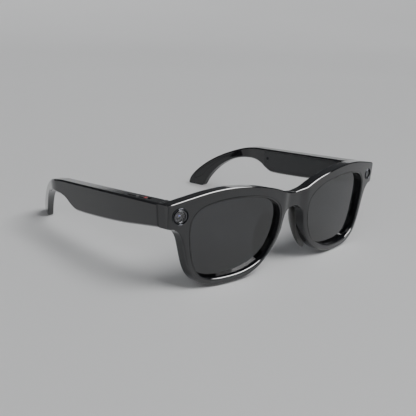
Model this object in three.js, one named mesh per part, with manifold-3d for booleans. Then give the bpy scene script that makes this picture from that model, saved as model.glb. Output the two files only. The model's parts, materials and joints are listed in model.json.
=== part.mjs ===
// Smart glasses: a thick front with two tinted lenses, a camera in one end piece and a status
// light in the other, and two hollow temples that fold on barrel hinges.
// Millimetres, +Z up. Everything is drawn in the wearer's frame (x to the wearer's left, y to the
// back of the head, z up, z = 0 at the temple tops), then pitched to stand on rims and tips.
import * as THREE from 'three';
import { mergeVertices } from 'three/addons/utils/BufferGeometryUtils.js';
import Module from 'manifold-3d';

const wasm = await Module();
wasm.setup();

// ---- driving dimensions ----
const GAP = 0.3;                  // clearance between neighbouring pieces
const RIGHT = -1;                 // the wearer's right is -x
const LEFT = 1;
const FRONT_SIDE = -1;            // which half of a hinge
const TEMPLE_SIDE = 1;
const REST_PITCH = THREE.MathUtils.degToRad(5.5);  // standing on rim bottoms and temple tips

const FRONT_DEPTH = 7;            // front to back of the front
const FRONT_EDGE = 0.7;           // rounded edge of the front
const FRONT_Y = -10.3;            // front face at the middle of the bridge, at z = 0
const WRAP = 0.0018;              // y gained per x squared
const TILT = -0.16;               // y gained per z: the lower rims sit further back
const LENS_FRONT = 3;             // depth of the lens face behind the front face
const LENS_THICK = 1.7;
const LENS_BITE = 0.8;            // how far the lens reaches into the rim

const CORNER_X = 74.2;            // outer corner of the front
const STUB_BOTTOM = -11.7;        // underside of the end piece
const TEMPLE_X = 74.7;            // outer face of the temple at its front end
const TEMPLE_Y = 8;               // outer end of the seam between end piece and temple
const SPLAY = 0.04;               // outward run of the temple per mm of length
const BEND_START = 102;           // the temple turns inward between these two stations
const BEND_END = 112;
const TIP_RUN = -0.345;           // inward run per mm behind the bend
const TEMPLE_THICK = 8;           // at the hinge
const BEND_THICK = 6.2;           // where it starts to turn inward
const TIP_THICK = 3.4;            // at the tip
const TIP_Y = 158.2;              // back end of the temple
const TEMPLE_EDGE = 0.9;          // chamfer along the edges of the bar
const WALL = 1.4;                 // temple housing wall

const HINGE_X = 66.4;             // fold axis
const HINGE_Y = 12.6;
const SEAM_ANGLE = Math.atan2(HINGE_Y - TEMPLE_Y, TEMPLE_X - HINGE_X);
const HINGE_TOP = -1.6;
const HINGE_BOTTOM = -9.8;
const KNUCKLE_R = 1.6;
const PIN_R = 0.55;

const EYE_X = 68.3;               // centre of the camera and of the status light
const EYE_Z = -6;
const CAMERA_R = 4.1;             // outer ring of the camera
const LIGHT_R = 3.2;              // outer ring of the status light
const CAMERA_WELL = [-3.5, -5.9]; // end of the ring's seat, and bottom of the well behind it
const LIGHT_WELL = [-2.9, -4.2];

const PAD_RADII = [3.4, 5.6, 13];  // nose pad lobe: half width, depth and height
const PAD_AT = [12.9, 9, -27.4];  // its centre: x, depth behind the front face, z
const PAD_LEAN = [0.1, -0.28, -0.42];

const SLIDER_Y = 22;              // middle of the power slider's slot
const BUTTON_Y = 32;              // middle of the capture button's slot
const SLOT_LENGTH = 8;
const SLOT_WIDTH = 2.4;
const SLOT_FLOOR = -3;

const BROW_CHANNEL = [1.3, 3.9, 56];  // top and bottom edge below the brow line, and reach each way
const CHANNEL_DEPTH = 2.6;

const POCKET_Y = [16, 88];        // electronics pocket in the temple
const COVER_DEPTH = [6.6, 7.8];   // inner cover, from the outer face inward
const SCREW_Y = [18.5, 85];       // cover screws
const SCREW_Z = -6.2;
const INLAY_Y = [120, 152];       // inlay strip on the inside of the tip
const INLAY_INSET = 2;            // its upper edge below the tip's top line; its lower one is midway
const INLAY_DEPTH = 2.2;
const SPEAKER_Y = 72;
const BATTERY_Y = 53;
const BOARD_Y = 29.5;

// ---- outlines: x or y first, then z ----
const BROW = [[0, -4.6], [6, -3.6], [13, -0.9], [19, 0.9], [27, 2.6], [36, 3.9], [44, 4.3],
  [53, 3.8], [63, 2.2], [CORNER_X, 0]];
const RIM = [[70.8, -12.2], [68.4, -14.2], [66.8, -17.2], [65.5, -22], [64.2, -27.5], [62.6, -33],
  [60.2, -37.8], [56.2, -41.8], [50.6, -44.3], [43.5, -45.2], [36, -45], [29, -43.9],
  [23.3, -41.4], [18, -37.8], [13.5, -33], [10.3, -28], [8.2, -23], [7.4, -18.5], [6.1, -15],
  [3.4, -12.8], [0, -12.1]];
const OPENING = [[10.7, -16.5], [11.6, -23], [13.7, -28.6], [17, -33.6], [22.5, -37.6], [31, -40.6],
  [41, -41.5], [50, -40.8], [56.6, -37.6], [60, -31.8], [61.8, -23.5], [62.6, -14.5],
  [61.6, -8.6], [57.8, -4.4], [50, -2.2], [40, -1.6], [29, -2.5], [19.5, -4.7], [13.2, -8.7],
  [11.2, -12.4]];
const TEMPLE_TOP = [[98, 0], [108.5, -1.1], [118.3, -3.6], [129.2, -7.5], [140.1, -12.9],
  [149.4, -19.3], [155.6, -25.4], [TIP_Y, -30.61]];
const TEMPLE_BASE = [[TEMPLE_Y, -11.6], [22, -12.9], [36, -14.2], [50, -15], [64, -15.4], [77, -15.5],
  [84, -15], [89, -12.7], [93, -10.2], [98.2, -8.4], [106.6, -7.8], [114.1, -8.4], [121.6, -10.5],
  [129.4, -14.6], [136.1, -19.9], [141.4, -25.8], [145.3, -31.855]];

// ---- solids ----
// A closed solid from corner points and triangles, with its faces turned out.
function closedSolid(points, triangles) {
  const volume = triangles.reduce((sum, [a, b, c]) => {
    return sum + points[a].dot(points[b].clone().cross(points[c]));
  }, 0);
  return new wasm.Manifold(new wasm.Mesh({
    numProp: 3,
    vertProperties: new Float32Array(points.flatMap((p) => p.toArray())),
    triVerts: new Uint32Array(triangles.flatMap(([a, b, c]) => (volume > 0 ? [a, b, c] : [a, c, b]))),
  }));
}

function inThrees(values) {
  return Array.from({ length: values.length / 3 }, (_, i) => [...values.slice(3 * i, 3 * i + 3)]);
}

function solidOf(geometry) {
  const bare = geometry.clone();
  bare.deleteAttribute('normal');
  bare.deleteAttribute('uv');
  const merged = mergeVertices(bare, 1e-4);
  const points = inThrees(merged.attributes.position.array).map((p) => new THREE.Vector3(...p));
  const whole = inThrees(merged.index.array).filter(([a, b, c]) => a !== b && b !== c && c !== a);
  return closedSolid(points, whole);
}

function geometryOf(solid) {
  const mesh = solid.getMesh();
  const geometry = new THREE.BufferGeometry();
  geometry.setAttribute('position', new THREE.BufferAttribute(new Float32Array(mesh.vertProperties), 3));
  geometry.setIndex(new THREE.BufferAttribute(new Uint32Array(mesh.triVerts), 1));
  return geometry;
}

// Splits every edge that is too long along one axis, so that a flat face can follow a bend.
function refine(points, triangles, axis, limit, from, to) {
  let pending = triangles;
  for (let changed = true; changed;) {
    changed = false;
    const middles = new Map();
    const middle = (a, b) => {
      const [pa, pb] = [points[a][axis], points[b][axis]];
      if (Math.abs(pa - pb) <= limit || Math.max(pa, pb) <= from || Math.min(pa, pb) >= to) return -1;
      const key = a < b ? `${a},${b}` : `${b},${a}`;
      if (!middles.has(key)) {
        middles.set(key, points.length);
        points.push(points[a].map((value, i) => (value + points[b][i]) / 2));
      }
      return middles.get(key);
    };
    const next = [];
    for (const [a, b, c] of pending) {
      const [ab, bc, ca] = [middle(a, b), middle(b, c), middle(c, a)];
      const split = [ab, bc, ca].filter((m) => m >= 0).length;
      changed = changed || split > 0;
      if (split === 0) next.push([a, b, c]);
      if (split === 3) next.push([a, ab, ca], [ab, b, bc], [ca, bc, c], [ab, bc, ca]);
      if (split === 1) {
        if (ab >= 0) next.push([a, ab, c], [ab, b, c]);
        if (bc >= 0) next.push([a, b, bc], [a, bc, c]);
        if (ca >= 0) next.push([a, b, ca], [ca, b, c]);
      }
      if (split === 2) {
        if (ab < 0) next.push([c, ca, bc], [ca, a, bc], [a, b, bc]);
        if (bc < 0) next.push([a, ab, ca], [ab, b, ca], [b, c, ca]);
        if (ca < 0) next.push([b, bc, ab], [bc, c, ab], [c, a, ab]);
      }
    }
    pending = next;
  }
  return pending;
}

// Moves every corner of a solid, and turns its faces out again if the move mirrors it.
function warp(solid, move, axis, limit, from = -Infinity, to = Infinity) {
  const mesh = solid.getMesh();
  const points = inThrees(mesh.vertProperties);
  const triangles = refine(points, inThrees(mesh.triVerts), axis, limit, from, to);
  return closedSolid(points.map(([u, v, w]) => new THREE.Vector3(...move(u, v, w))), triangles);
}

function smooth(points, steps, closed = false) {
  const knots = points.map(([u, v]) => new THREE.Vector3(u, v, 0));
  const curve = new THREE.CatmullRomCurve3(knots, closed, 'centripetal');
  const sampled = curve.getSpacedPoints(steps).map((p) => new THREE.Vector2(p.x, p.y));
  return closed ? sampled.slice(0, -1) : sampled;
}

// Height of an outline at a station along it; level past its end.
function heightAt(outline, station) {
  const end = outline.at(-1);
  if (station >= end.x) return end.y;
  const after = Math.max(1, outline.findIndex((p) => p.x > station));
  const [a, b] = [outline[after - 1], outline[after]];
  return THREE.MathUtils.mapLinear(station, a.x, b.x, a.y, b.y);
}

// Grows a closed, counter-clockwise outline outward by a distance, or shrinks it.
function grow(outline, distance) {
  return outline.map((p, i) => {
    const before = outline[(i + outline.length - 1) % outline.length];
    const after = outline[(i + 1) % outline.length];
    const run = after.clone().sub(before).normalize();
    return new THREE.Vector2(p.x + run.y * distance, p.y - run.x * distance);
  });
}

function extrude(outline, from, to, edge = 0, holes = []) {
  const shape = new THREE.Shape(outline);
  shape.holes = holes.map((hole) => new THREE.Path(hole));
  const geometry = new THREE.ExtrudeGeometry(shape, {
    depth: to - from - 2 * edge,
    bevelEnabled: edge > 0,
    bevelThickness: edge,
    bevelSize: edge,
    bevelOffset: -edge,
    bevelSegments: 1,
  });
  return solidOf(geometry.translate(0, 0, from + edge));
}

function box(x0, x1, y0, y1, z0, z1) {
  const geometry = new THREE.BoxGeometry(x1 - x0, y1 - y0, z1 - z0);
  return solidOf(geometry.translate((x0 + x1) / 2, (y0 + y1) / 2, (z0 + z1) / 2));
}

// A round stack turned about z: pairs of radius and height, closed on the axis or on itself.
function turned(profile, segments = 24) {
  return solidOf(new THREE.LatheGeometry(profile.map(([r, h]) => new THREE.Vector2(r, h)), segments)
    .rotateX(Math.PI / 2));
}

function rod(radius, z0, z1, segments = 20) {
  return turned([[0, z0], [radius, z0], [radius, z1], [0, z1]], segments);
}

function ring(inner, outer, z0, z1, segments = 28) {
  return turned([[inner, z0], [outer, z0], [outer, z1], [inner, z1], [inner, z0]], segments);
}

const place = (solid, matrix) => solid.transform(matrix.toArray());

// ---- shared surfaces ----
const frontY = (x, z) => FRONT_Y + WRAP * x * x + TILT * z;
const bendFront = (flat) => warp(flat, (u, v, w) => [u, frontY(u, v) + w, v], 0, 10);

function outerX(y) {
  const turn = THREE.MathUtils.clamp((y - BEND_START) / (BEND_END - BEND_START), 0, 1);
  const bend = (TIP_RUN - SPLAY) * (BEND_END - BEND_START) * turn * turn / 2;
  return TEMPLE_X + SPLAY * (y - TEMPLE_Y) + bend + Math.max(0, y - BEND_END) * (TIP_RUN - SPLAY);
}

function thickAt(y) {
  if (y < BEND_START) return THREE.MathUtils.mapLinear(y, HINGE_Y, BEND_START, TEMPLE_THICK, BEND_THICK);
  return THREE.MathUtils.mapLinear(y, BEND_START, TIP_Y, BEND_THICK, TIP_THICK);
}

// Temple pieces are drawn flat (y, z), with w = 0 on the outer face and w = TEMPLE_THICK on the
// inner one, and only the stretch where the temple turns inward needs short edges.
const bendTemple = (flat, side) => warp(flat,
  (u, v, w) => [side * (outerX(u) - w * thickAt(u) / TEMPLE_THICK), u, v], 0, 6, BEND_START, BEND_END);

// A frame standing on the front face at the camera or the light, with +z pointing forward.
function eyeMatrix(side) {
  const forward = new THREE.Vector3(2 * WRAP * side * EYE_X, -1, TILT).normalize();
  const turn = new THREE.Quaternion().setFromUnitVectors(new THREE.Vector3(0, 0, 1), forward);
  const at = new THREE.Vector3(side * EYE_X, frontY(EYE_X, EYE_Z), EYE_Z);
  return new THREE.Matrix4().compose(at, turn, new THREE.Vector3(1, 1, 1));
}

// The hinge frame: origin on the fold axis, +x along the seam outward, +y toward the temple.
function hingeMatrix(side) {
  const turn = new THREE.Matrix4().makeRotationZ(-SEAM_ANGLE);
  const at = new THREE.Matrix4().makeTranslation(HINGE_X, HINGE_Y, 0);
  return new THREE.Matrix4().makeScale(side, 1, 1).multiply(at).multiply(turn);
}

const hinged = (solid, side) => place(solid, hingeMatrix(side));

// Along the temple: origin at a station on the outer face at z = 0, +x inward, +y to the tip.
function barMatrix(side, y) {
  const turn = new THREE.Matrix4().makeRotationZ(-Math.atan(SPLAY));
  const at = new THREE.Matrix4().makeTranslation(outerX(y), y, 0);
  const inward = new THREE.Matrix4().makeScale(-1, 1, 1);
  return new THREE.Matrix4().makeScale(side, 1, 1).multiply(at).multiply(turn).multiply(inward);
}

const onBar = (solid, side, y) => place(solid, barMatrix(side, y));

// ---- outlines as sampled curves ----
const opening = smooth(OPENING, 36, true);
const browLine = smooth(BROW, 12);
const rimLine = [new THREE.Vector2(CORNER_X, STUB_BOTTOM), ...smooth(RIM, 28)];
const mirrored = (outline) => outline.map((p) => new THREE.Vector2(-p.x, p.y)).reverse();
const templeTop = [new THREE.Vector2(TEMPLE_Y, 0), ...smooth(TEMPLE_TOP, 10)];
const templeBase = smooth(TEMPLE_BASE, 22);

function frontOutline() {
  const half = [...browLine, ...rimLine];
  return [...half, ...mirrored(half).slice(1, -1)].reverse();
}

function spaced(from, to, steps) {
  return Array.from({ length: steps + 1 }, (_, i) => THREE.MathUtils.mapLinear(i, 0, steps, from, to));
}

// A closed band under the brow line, inset all round from the channel's own outline.
function browBand([upper, lower, reach], inset, from, to) {
  const stations = spaced(inset - reach, reach - inset, 16);
  const at = (x, drop) => new THREE.Vector2(x, heightAt(browLine, Math.abs(x)) - drop);
  const low = stations.map((x) => at(x, lower - inset));
  const high = stations.map((x) => at(x, upper + inset)).reverse();
  return extrude([...low, ...high], from, to);
}

// A piece of the temple between two stations, inset from its top and base.
function barOutline(y0, y1, insetTop, insetBase, count) {
  const stations = spaced(y0, y1, count);
  const low = stations.map((y) => new THREE.Vector2(y, heightAt(templeBase, y) + insetBase));
  const high = stations.map((y) => new THREE.Vector2(y, heightAt(templeTop, y) - insetTop)).reverse();
  return [...low, ...high];
}

// ---- the front ----
const STUB_EDGE = 0.5;
const flipped = (solid, side) => place(solid, new THREE.Matrix4().makeScale(side, 1, 1));

function makeStub(side) {
  const inner = HINGE_X + 0.5;
  const seamY = TEMPLE_Y - GAP / 2 - 0.1;
  const plan = [[inner, 2], [inner, HINGE_Y - GAP], [TEMPLE_X - 0.1, seamY], [CORNER_X + GAP, 4]];
  const outline = plan.map(([x, y]) => new THREE.Vector2(x, y));
  return flipped(extrude(outline, STUB_BOTTOM + 0.1, -0.1, STUB_EDGE), side);
}

// The round seat of the camera's or the light's ring, and a smaller well for its board behind it.
function eyeWell(side) {
  const [radius, [seatEnd, bottom]] = side === RIGHT ? [CAMERA_R, CAMERA_WELL] : [LIGHT_R, LIGHT_WELL];
  const seat = rod(radius + GAP, seatEnd, 3, 28);
  return place(seat.add(rod(radius - 0.6, bottom, 0, 20)), eyeMatrix(side));
}

function makeFrontFrame() {
  const groove = grow(opening, LENS_BITE + GAP);
  const grooveDepth = [LENS_FRONT - GAP, LENS_FRONT + LENS_THICK + GAP];
  const flat = extrude(frontOutline(), 0, FRONT_DEPTH, FRONT_EDGE, [opening, mirrored(opening)])
    .subtract(extrude(groove, ...grooveDepth))
    .subtract(extrude(mirrored(groove), ...grooveDepth))
    .subtract(browBand(BROW_CHANNEL, 0, FRONT_DEPTH - CHANNEL_DEPTH, FRONT_DEPTH + 1));
  let frame = bendFront(flat);
  for (const side of [RIGHT, LEFT]) {
    frame = frame.add(makeStub(side)).subtract(eyeWell(side)).subtract(hingePocket(side, FRONT_SIDE));
  }
  return frame;
}

const makeLens = (side) => {
  const outline = grow(opening, LENS_BITE);
  const flat = extrude(side === LEFT ? outline : mirrored(outline), LENS_FRONT, LENS_FRONT + LENS_THICK);
  return bendFront(flat);
};

const makeBrowCover = () => bendFront(browBand(BROW_CHANNEL, GAP, FRONT_DEPTH - 1.2, FRONT_DEPTH - 0.1));
const makeBrowCable = () => bendFront(browBand(BROW_CHANNEL, 2 * GAP, FRONT_DEPTH - 2.2, FRONT_DEPTH - 1.8));

function makeNosePad(side) {
  const lobe = solidOf(new THREE.SphereGeometry(1, 18, 12).scale(...PAD_RADII));
  const turn = new THREE.Matrix4().makeRotationFromEuler(new THREE.Euler(...PAD_LEAN, 'ZYX'));
  const [x, depth, z] = PAD_AT;
  const at = new THREE.Matrix4().makeTranslation(x, frontY(x, z) + depth, z);
  const behind = [[-2, -40], [40, -40], [40, 0], [-2, 0]].map(([u, v]) => new THREE.Vector2(u, v));
  const pad = place(lobe, at.multiply(turn))
    .intersect(bendFront(extrude(behind, FRONT_DEPTH + GAP, FRONT_DEPTH + 30)));
  return flipped(pad, side);
}

// ---- camera and status light, built along +z from the front face ----
const CAMERA_HOLE = 2.7;
const LIGHT_HOLE = 1.8;

function cameraPieces() {
  const seat = eyeMatrix(RIGHT);
  const bezel = turned([[CAMERA_HOLE, 0.1], [2.9, 0.55], [3.5, 0.7], [CAMERA_R, 0.3], [CAMERA_R, -3.2],
    [CAMERA_HOLE, -3.2], [CAMERA_HOLE, 0.1]], 32);
  const windowDisc = rod(CAMERA_HOLE - GAP, -1.4, -0.3, 28);
  const barrel = turned([[0, -1.9], [1.1, -1.9], [1.1, -1.7], [2.2, -1.7], [2.2, -4.6], [0, -4.6]], 24);
  const sensor = box(-2.1, 2.1, -2.1, 2.1, -5.6, -4.9);
  return [
    ['camera_bezel', bezel, BEZEL],
    ['camera_window', windowDisc, CAMERA_GLASS],
    ['camera_lens_barrel', barrel, BARREL],
    ['camera_sensor_board', sensor, BOARD],
  ].map(([name, solid, look]) => [name, place(solid, seat), look]);
}

function lightPieces() {
  const seat = eyeMatrix(LEFT);
  const bezel = turned([[LIGHT_HOLE, 0.2], [2.1, 0.5], [2.7, 0.5], [LIGHT_R, 0.2], [LIGHT_R, -2.6],
    [LIGHT_HOLE, -2.6], [LIGHT_HOLE, 0.2]], 28);
  const guide = rod(LIGHT_HOLE - GAP, -2.6, -0.2, 24);
  const board = box(-1.6, 1.6, -1.6, 1.6, -3.9, -3.1);
  return [
    ['status_light_bezel', bezel, BEZEL],
    ['status_light_guide', guide, DIFFUSER],
    ['status_light_board', board, BOARD],
  ].map(([name, solid, look]) => [name, place(solid, seat), look]);
}

// ---- hinges, drawn in the hinge frame: the front's half lies at -y and the temple's at +y ----
const KNUCKLE_STEP = (HINGE_TOP - HINGE_BOTTOM - 2 * GAP) / 3;
const KNUCKLES = [0, 1, 2].map((i) => HINGE_BOTTOM + i * (KNUCKLE_STEP + GAP));

function hingePocket(side, half) {
  const barrel = rod(KNUCKLE_R + 0.4, HINGE_BOTTOM - GAP, HINGE_TOP + GAP);
  const [y0, y1] = half === FRONT_SIDE ? [-1.8, 1] : [-1, 1.8];
  return hinged(barrel.add(box(0, 5.6, y0, y1, HINGE_BOTTOM - GAP, HINGE_TOP + GAP)), side);
}

function hingeLeaf(side, half) {
  const mine = half === FRONT_SIDE ? [0, 2] : [1];
  const [y0, y1] = half === FRONT_SIDE ? [-1.45, -0.4] : [0.4, 1.45];
  let leaf = box(2.3, 5.2, y0, y1, HINGE_BOTTOM, HINGE_TOP);
  for (const i of mine) {
    const [z0, z1] = [KNUCKLES[i], KNUCKLES[i] + KNUCKLE_STEP];
    leaf = leaf.add(rod(KNUCKLE_R, z0, z1)).add(box(0.2, 2.4, y0, y1, z0, z1));
  }
  return hinged(leaf.subtract(rod(PIN_R + GAP, HINGE_BOTTOM - 1, HINGE_TOP + 1, 16)), side);
}

function hingePin(side) {
  return hinged(turned([[0, HINGE_BOTTOM + 0.1], [PIN_R, HINGE_BOTTOM + 0.1], [PIN_R, HINGE_TOP - 0.1],
    [0, HINGE_TOP - 0.1]], 16), side);
}

// ---- temples ----
const SLOT_MIDDLE = thickAt(BUTTON_Y) / 2;
const KEY_X = [SLOT_MIDDLE - 0.85, SLOT_MIDDLE + 0.85];
const FLANGE_X = [SLOT_MIDDLE - 1.7, SLOT_MIDDLE + 1.7];
const FLANGE_Z = [-3.1, -2.3];
const SLIDER_REST = 1.3;          // the slider rests this far behind the middle of its slot

function controlSlot() {
  const [half, reach] = [SLOT_WIDTH / 2, SLOT_LENGTH / 2];
  return box(SLOT_MIDDLE - half, SLOT_MIDDLE + half, -reach, reach, SLOT_FLOOR, 1);
}

function pocketOutline(inset) {
  return barOutline(POCKET_Y[0] + inset, POCKET_Y[1] - inset, WALL + inset, WALL + inset, 12);
}

function inlayOutline(inset) {
  const stations = spaced(INLAY_Y[0] + inset, INLAY_Y[1] - inset, 9);
  const high = stations.map((y) => new THREE.Vector2(y, heightAt(templeTop, y) - INLAY_INSET - inset));
  const low = stations.map((y) => {
    return new THREE.Vector2(y, (heightAt(templeTop, y) + heightAt(templeBase, y)) / 2 + inset);
  });
  return [...low, ...high.reverse()];
}

function makeTempleShell(side) {
  const outline = [...templeBase, ...templeTop.slice().reverse()];
  const flat = extrude(outline, 0, TEMPLE_THICK, TEMPLE_EDGE)
    .subtract(extrude(pocketOutline(0), WALL, TEMPLE_THICK + 1))
    .subtract(extrude(inlayOutline(0), TEMPLE_THICK - INLAY_DEPTH, TEMPLE_THICK + 1));
  let shell = bendTemple(flat, side);
  const mitre = hinged(box(-12, 20, -20, GAP / 2, -40, 20), side);
  shell = shell.subtract(mitre).subtract(hingePocket(side, TEMPLE_SIDE)).subtract(grilleSlot(side));
  for (const y of SCREW_Y) {
    const [coverBack] = coverAt(y);
    shell = shell.add(acrossBar(rod(BOSS_R, 1, coverBack - 0.1, 16), side, y));
    const thread = rod(SHANK_R + SCREW_GAP, SHANK_END - SCREW_GAP, coverBack, 14);
    shell = shell.subtract(acrossBar(thread, side, y));
  }
  if (side === RIGHT) {
    for (const y of [SLIDER_Y, BUTTON_Y]) shell = shell.subtract(onBar(controlSlot(), side, y));
  }
  return shell;
}

// ---- cover screws: each lies across the bar, seated in the cover and driven into a boss ----
const SHANK_R = 0.6;
const SHANK_END = 2.2;
const HEAD_R = 1.1;
const HEAD_THICK = 0.45;
const HEAD_SUNK = 0.05;
const BOSS_R = 1.9;
const SCREW_GAP = 0.1;
const acrossBar = (solid, side, y) => onBar(solid.rotate([0, 90, 0]).translate([0, 0, SCREW_Z]), side, y);
const coverAt = (y) => COVER_DEPTH.map((depth) => depth * thickAt(y) / TEMPLE_THICK);

function makeScrew(side, y) {
  const top = coverAt(y)[1] - HEAD_SUNK;
  const seat = top - HEAD_THICK;
  const shank = [[0, SHANK_END], [SHANK_R, SHANK_END], [SHANK_R, seat]];
  const head = [[HEAD_R, seat], [HEAD_R, top], [0, top]];
  return acrossBar(turned([...shank, ...head], 14), side, y);
}

function makeCover(side) {
  let cover = bendTemple(extrude(pocketOutline(GAP), ...COVER_DEPTH), side);
  for (const y of SCREW_Y) {
    const seat = coverAt(y)[1] - HEAD_SUNK - HEAD_THICK - SCREW_GAP;
    const hole = rod(HEAD_R + SCREW_GAP, seat, 9, 14).add(rod(SHANK_R + SCREW_GAP, 4, seat + 0.1, 14));
    cover = cover.subtract(acrossBar(hole, side, y));
  }
  return cover;
}

const makeInlay = (side) => bendTemple(
  extrude(inlayOutline(GAP), TEMPLE_THICK - INLAY_DEPTH + 0.4, TEMPLE_THICK - 0.1), side);

// ---- speaker grille in the underside of the bar ----
const GRILLE_X = [2.4, 4.4];
const GRILLE_Z = [-15.3, -14.3];
const GRILLE_HALF = 6;

function grilleSlot(side) {
  const [x0, x1] = GRILLE_X;
  const half = GRILLE_HALF + GAP;
  return onBar(box(x0 - GAP, x1 + GAP, -half, half, -17.5, -12), side, SPEAKER_Y);
}

function makeGrille(side) {
  const [x0, x1] = GRILLE_X;
  let grille = box(x0, x1, -GRILLE_HALF, GRILLE_HALF, ...GRILLE_Z);
  for (let y = -4.5; y <= 4.5; y += 1.5) {
    grille = grille.subtract(box(x0 + 0.5, x1 - 0.5, y - 0.35, y + 0.35, -16, -13));
  }
  return onBar(grille, side, SPEAKER_Y);
}

// Boxes inside the housing: inward from the outer face, along the bar, height.
const inside = (side, y, size) => onBar(box(...size), side, y);
const SPEAKER_BOX = [1.7, 5.2, -6, 6, -13.4, -7.4];
const BATTERY_BOX = [1.7, 5.2, -11, 11, -12.6, -2];
const MICROPHONE_BOX = [1.8, 3.6, -9.4, -7.6, -11, -8.6];
const SWITCH_BOX = [2.4, 4.6, -1.6, 1.6, -5.4, -3.9];
const SLIDE_SWITCH_BOX = [2.4, 4.6, -1.4, 3, -5.4, -3.7];
const MAIN_BOARD_BOX = [2.2, 3.2, -6.5, 11, -11.2, -5.8];
const PROCESSOR_BOX = [3.5, 4.7, -3.5, 4.5, -11, -6.2];
const CHARGING_BOARD_BOX = [2.2, 3.2, -6.5, 11, -11.2, -3.5];

// ---- materials ----
function look(color, roughness, metalness = 0, opacity = 1) {
  return { color, roughness, metalness, opacity, transparent: opacity < 1 };
}

const GLOSS = look(0x0c0e12, 0.16);
const SATIN = look(0x14161a, 0.38);
const TINT = look(0x23262b, 0.05, 0, 0.55);
const SOFT = look(0x1b1d20, 0.45);
const BEZEL = look(0x15171b, 0.2, 0.6);
const CAMERA_GLASS = look(0x0a0a10, 0.03, 0, 0.7);
const BARREL = look(0x101014, 0.4, 0.4);
const DIFFUSER = look(0x6d7074, 0.3);
const BOARD = look(0x123524, 0.5);
const STEEL = look(0x9a9da2, 0.3, 1);
const CELL = look(0x8f9296, 0.4, 0.4);
const COPPER = look(0x8a5a20, 0.45, 0.3);
const RED = look(0xc22026, 0.4);
const MESH_BLACK = look(0x090a0b, 0.6, 0.3);

const glasses = new THREE.Group();

function addPiece(name, solid, appearance) {
  const material = new THREE.MeshStandardMaterial({ ...appearance, flatShading: true });
  const mesh = new THREE.Mesh(geometryOf(solid), material);
  mesh.name = name;
  glasses.add(mesh);
}

addPiece('front_frame', makeFrontFrame(), GLOSS);
addPiece('brow_rear_cover', makeBrowCover(), SATIN);
addPiece('brow_flex_cable', makeBrowCable(), COPPER);
for (const piece of [...cameraPieces(), ...lightPieces()]) addPiece(...piece);

for (const [side, word] of [[RIGHT, 'right'], [LEFT, 'left']]) {
  addPiece(`lens_${word}`, makeLens(side), TINT);
  addPiece(`nose_pad_${word}`, makeNosePad(side), SOFT);
  addPiece(`hinge_front_leaf_${word}`, hingeLeaf(side, FRONT_SIDE), STEEL);
  addPiece(`hinge_pin_${word}`, hingePin(side), STEEL);
  addPiece(`temple_housing_${word}`, makeTempleShell(side), GLOSS);
  addPiece(`temple_inner_cover_${word}`, makeCover(side), SATIN);
  addPiece(`tip_inlay_${word}`, makeInlay(side), SATIN);
  addPiece(`hinge_temple_leaf_${word}`, hingeLeaf(side, TEMPLE_SIDE), STEEL);
  addPiece(`cover_screw_front_${word}`, makeScrew(side, SCREW_Y[0]), STEEL);
  addPiece(`cover_screw_rear_${word}`, makeScrew(side, SCREW_Y[1]), STEEL);
  addPiece(`speaker_grille_${word}`, makeGrille(side), MESH_BLACK);
  addPiece(`speaker_${word}`, inside(side, SPEAKER_Y, SPEAKER_BOX), BARREL);
  addPiece(`battery_${word}`, inside(side, BATTERY_Y, BATTERY_BOX), CELL);
  addPiece(`microphone_${word}`, inside(side, BOARD_Y, MICROPHONE_BOX), STEEL);
}

// ---- right temple controls: each stands in its slot on a wider flange that keeps it in ----
function makeButton() {
  const cap = box(...KEY_X, -3.6, 3.6, -2.6, 0.35);
  return onBar(cap.add(box(...FLANGE_X, -4.6, 4.6, ...FLANGE_Z)), RIGHT, BUTTON_Y);
}

function makeSlider() {
  const markSeat = box(...KEY_X, -2.3, -0.7, 0, 1);
  const knob = box(...KEY_X, -2.2, 2.2, -2.6, 0.3).subtract(markSeat);
  return onBar(knob.add(box(...FLANGE_X, -3.2, 3.2, ...FLANGE_Z)), RIGHT, SLIDER_Y + SLIDER_REST);
}

function makeRedMark() {
  const mark = box(SLOT_MIDDLE - 0.55, SLOT_MIDDLE + 0.55, -2.1, -0.9, 0.05, 0.3);
  return onBar(mark, RIGHT, SLIDER_Y + SLIDER_REST);
}

addPiece('capture_button', makeButton(), GLOSS);
addPiece('capture_switch', inside(RIGHT, BUTTON_Y, SWITCH_BOX), BARREL);
addPiece('power_slider', makeSlider(), GLOSS);
addPiece('power_slider_red_mark', makeRedMark(), RED);
addPiece('power_switch', inside(RIGHT, SLIDER_Y, SLIDE_SWITCH_BOX), BARREL);
addPiece('main_board', inside(RIGHT, BOARD_Y, MAIN_BOARD_BOX), BOARD);
addPiece('processor', inside(RIGHT, BOARD_Y, PROCESSOR_BOX), MESH_BLACK);
addPiece('charging_board', inside(LEFT, BOARD_Y, CHARGING_BOARD_BOX), BOARD);

// ---- stand the glasses on their rims and tips, with the origin below the middle of the box ----
glasses.rotation.x = -REST_PITCH;
glasses.updateMatrixWorld(true);
const bounds = new THREE.Box3().setFromObject(glasses, true);
const middle = bounds.getCenter(new THREE.Vector3());
glasses.position.set(-middle.x, -middle.y, -bounds.min.z);

const part = new THREE.Group();
part.add(glasses);
export default part;
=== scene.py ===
"""Smart glasses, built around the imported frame: glossy black front and temples, tinted lenses,
camera, status light, hinges and controls, on a plain pale studio floor."""

import math

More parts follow.
